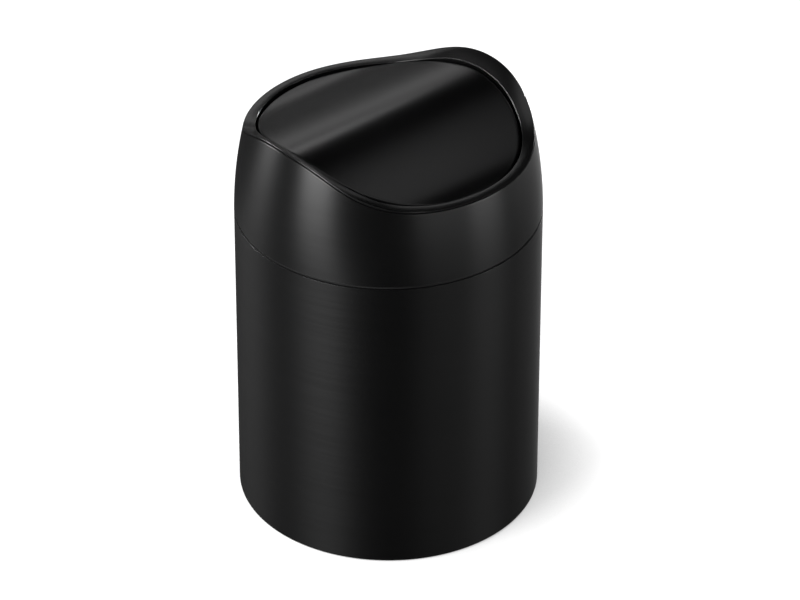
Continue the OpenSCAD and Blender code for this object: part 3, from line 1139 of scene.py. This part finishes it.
@dataclass
class Studio:
    """Camera, pale floor, black mat and soft lamps in a dark world.

    The mat stands for the dark room that the can mirrors, so only reflections see it. The floor
    looks white by a glow that gives no diffuse light and fades into a painted shadow close to the can.
    """

    form: CanForm
    camera_turn: float = -41.1
    camera_rise: float = 34.03
    camera_distance: float = 1892.2 * MM
    aim_share: float = 1.2
    sensor_w: float = 36.0
    lens: float = 208.6
    shift: Pair = (0.01435, 0.0309)
    clip: Pair = (0.05, 60.0)
    disc_steps: int = 96
    floor_r: float = 9.0
    floor_colour: Triple = (0.30, 0.30, 0.30)
    floor_tint: Triple = (0.2955, 0.2955, 0.2955)
    floor_tooth: float = 900.0
    floor_rough: float = 0.9
    floor_ior: float = 1.3
    floor_glow: float = 0.87
    # Direction, reach and samples of the painted shadow in the floor's glow.
    painted_shadow_from: Pair = (-40.0, 35.0)
    painted_shadow_reach: float = 32.0 * MM
    painted_shadow_samples: int = 8
    mat_r: float = 3.0
    mat_h: float = 0.4 * MM
    mat_colour: Triple = (0.003, 0.003, 0.003)
    mat_tint: Triple = (0.004, 0.004, 0.004)
    mat_weave: float = 700.0
    mat_rough: float = 0.95
    lamp_aim: float = 0.09
    panels: tuple[Panel, ...] = (
        Panel("back_ridge", -176.5, 19.5, 1.3, 0.494, 0.240, 0.22),
        Panel("back_wide", -166.8, 21.0, 1.3, 0.900, 0.380, 0.15),
        Panel("back_strip", -162.0, 33.0, 1.3, 0.672, 0.150, 0.58),
        Panel("left_rear", -110.5, 21.7, 1.3, 0.552, 0.187, 17.5),
        Panel("left_front", -47.0, 24.0, 0.85, 0.400, 0.240, 9.6),
        Panel("above", -42.4, 85.0, 1.3, 0.900, 0.900, 2.4),
        Panel("right_front", 37.0, 18.0, 0.85, 0.480, 0.140, 1.65),
        Panel("right_side", 72.0, 16.0, 0.85, 0.400, 0.240, 3.6),
        Panel("right_rear", 111.0, 5.0, 1.3, 0.780, 0.368, 1.9),
        Panel("rear_high", 126.0, 59.3, 1.3, 0.900, 0.144, 0.364),
        Panel("rear_spot", 141.0, 5.0, 1.3, 0.143, 0.097, 10.9),
        Panel("rear_band", 163.0, 9.0, 1.3, 0.260, 0.360, 0.12),
    )

    def toward(self, turn: float, rise: float) -> Vector:
        """Unit vector at a turn from the camera to the picture's right and a rise, in degrees."""
        side, up = math.radians(self.camera_turn + turn), math.radians(rise)
        return Vector((math.sin(side) * math.cos(up), -math.cos(side) * math.cos(up), math.sin(up)))

    def place_camera(self) -> None:
        """Makes the camera at the picture's viewing angle."""
        data = bpy.data.cameras.new("camera")
        data.sensor_fit = "HORIZONTAL"
        data.sensor_width = self.sensor_w
        data.lens = self.lens
        data.shift_x, data.shift_y = self.shift
        data.clip_start, data.clip_end = self.clip
        camera = bpy.data.objects.new("camera", data)
        bpy.context.scene.collection.objects.link(camera)
        back = self.toward(0, self.camera_rise)
        camera.location = Vector((0, 0, self.aim_share * self.form.body_r)) + back * self.camera_distance
        camera.rotation_euler = (-back).to_track_quat("-Z", "Y").to_euler()
        bpy.context.scene.camera = camera

    def disc(self, name: str, radius: float, height: float) -> bpy.types.Object:
        """Makes a flat disc of the stage.

        Args:
            name: Name of the object.
            radius: Radius of the disc.
            height: Height of its face.

        Returns:
            The new object.
        """
        turn = np.linspace(0, 2 * math.pi, self.disc_steps, endpoint=False)
        rim = np.stack([radius * np.cos(turn), radius * np.sin(turn), np.full(len(turn), height)], -1)
        mesh = bpy.data.meshes.new(name)
        mesh.from_pydata(rim.tolist(), [], [list(range(len(rim)))])
        made = bpy.data.objects.new(name, mesh)
        bpy.context.scene.collection.objects.link(made)
        return made

    def glow_with_painted_shadow(self, sheet: NodeSheet) -> bpy.types.NodeSocket:
        """Strength of the floor's glow, with a painted shadow: ambient occlusion fades it where the can
        stands close by in a given direction.

        Args:
            sheet: The floor's node tree.

        Returns:
            The socket with the strength.
        """
        way = sheet.node("CombineXYZ")
        for socket, value in zip(way.inputs, self.toward(*self.painted_shadow_from)):
            socket.default_value = value
        # Ambient occlusion along a tilted direction paints the can's soft shadow into the glow.
        shade = sheet.node("AmbientOcclusion", samples=self.painted_shadow_samples)
        shade.inputs["Distance"].default_value = self.painted_shadow_reach
        sheet.link(way.outputs["Vector"], shade.inputs["Normal"])
        share = sheet.node("Math", operation="MULTIPLY")
        share.inputs[1].default_value = self.floor_glow
        sheet.link(shade.outputs["AO"], share.inputs[0])
        return share.outputs["Value"]

    def lay_floor(self) -> None:
        """Makes the pale floor, whose white only the camera, gloss and glass see."""
        floor = self.disc("floor", self.floor_r, 0.0)
        sheet = NodeSheet("floor_paper")
        sheet.paint(sheet.noise(sheet.place(), self.floor_tooth), self.floor_colour, self.floor_tint)
        sheet.set(Roughness=self.floor_rough, IOR=self.floor_ior, Emission_Color=(1, 1, 1, 1))
        path = sheet.node("LightPath")
        rays = ("Is Camera Ray", "Is Glossy Ray", "Is Transmission Ray")
        seen = sheet.join(Merge.LARGER, *(path.outputs[ray] for ray in rays))
        # The glow is darkened near the can into a painted shadow.
        glow = sheet.join(Merge.PRODUCT, seen, self.glow_with_painted_shadow(sheet))
        sheet.link(glow, sheet.shader.inputs["Emission Strength"])
        floor.data.materials.append(sheet.material)

    def lay_mat(self) -> None:
        """Makes the black mat just over the floor, which only reflections see."""
        mat = self.disc("black_mat", self.mat_r, self.mat_h)
        sheet = NodeSheet("mat_cloth")
        sheet.paint(sheet.noise(sheet.place(), self.mat_weave), self.mat_colour, self.mat_tint)
        sheet.set(Roughness=self.mat_rough)
        mat.data.materials.append(sheet.material)
        mat.visible_camera = False
        mat.visible_diffuse = False
        mat.visible_shadow = False
        mat.visible_transmission = False

    def hang_panels(self) -> None:
        """Makes the soft lamps round the can, each turned to a point on its axis."""
        centre = Vector((0, 0, self.lamp_aim))
        for panel in self.panels:
            lamp = bpy.data.lights.new(panel.name, "AREA")
            lamp.shape = "RECTANGLE"
            lamp.size, lamp.size_y = panel.width, panel.height
            lamp.energy = panel.power
            made = bpy.data.objects.new(panel.name, lamp)
            bpy.context.scene.collection.objects.link(made)
            way = self.toward(panel.turn, panel.rise)
            made.location = centre + way * panel.distance
            made.rotation_euler = way.to_track_quat("Z", "Y").to_euler()

    def darken_world(self) -> None:
        """Makes a world without light of its own."""
        world = bpy.data.worlds.new("studio_air")
        world.use_nodes = True
        world.node_tree.nodes["Background"].inputs["Strength"].default_value = 0.0
        bpy.context.scene.world = world

    def build(self) -> None:
        """Sets up the whole stage."""
        bpy.context.scene.view_settings.view_transform = "Standard"
        self.place_camera()
        self.lay_floor()
        self.lay_mat()
        self.hang_panels()
        self.darken_world()
        LOG.info("studio has %d panels", len(self.panels))


def all_finishes() -> dict[Slot, Finish]:
    """Chooses the finish of every slot.

    Returns:
        The finishes by slot.
    """
    return {
        Slot.SHELL: SatinLacquer(),
        Slot.LID: MouldedPlastic(),
        Slot.FRAME: MouldedPlastic(rough=(0.25, 0.27)),
        Slot.INNER: MouldedPlastic(base=(0.0025, 0.0025, 0.0027), tint=(0.0035, 0.0035, 0.0037),
                                   rough=(0.5, 0.6), grain=1800.0, grain_depth=0.02 * MM),
        Slot.PAN: MouldedPlastic(base=(0.008, 0.008, 0.008), rough=(0.4, 0.48), grain=700.0,
                                 grain_depth=0.01 * MM),
        Slot.PAD: Rubber(),
        Slot.PIN: BareMetal(base=(0.10, 0.10, 0.11), tint=(0.07, 0.07, 0.07), rough=(0.3, 0.42)),
        Slot.SCREW: BareMetal(base=(0.58, 0.60, 0.63), tint=(0.50, 0.51, 0.52), rough=(0.25, 0.38)),
        Slot.BUSH: Nylon(),
        Slot.WEIGHT: BareMetal(base=(0.42, 0.42, 0.43), tint=(0.33, 0.32, 0.31), rough=(0.36, 0.5),
                               marks=1500.0, stretch=(0.1, 1.0, 1.0)),
    }


def main() -> None:
    """Builds the sub-assemblies in order and then the studio."""
    logging.basicConfig(level=logging.INFO, format="%(name)s: %(message)s")
    dresser = Dresser(all_finishes())
    form = CanForm()
    body = CanBody(form)
    body.build(dresser)
    Collar(form, body).build(dresser)
    SwingLid(form).build(dresser)
    Studio(form).build()


if __name__ == "__main__":
    main()
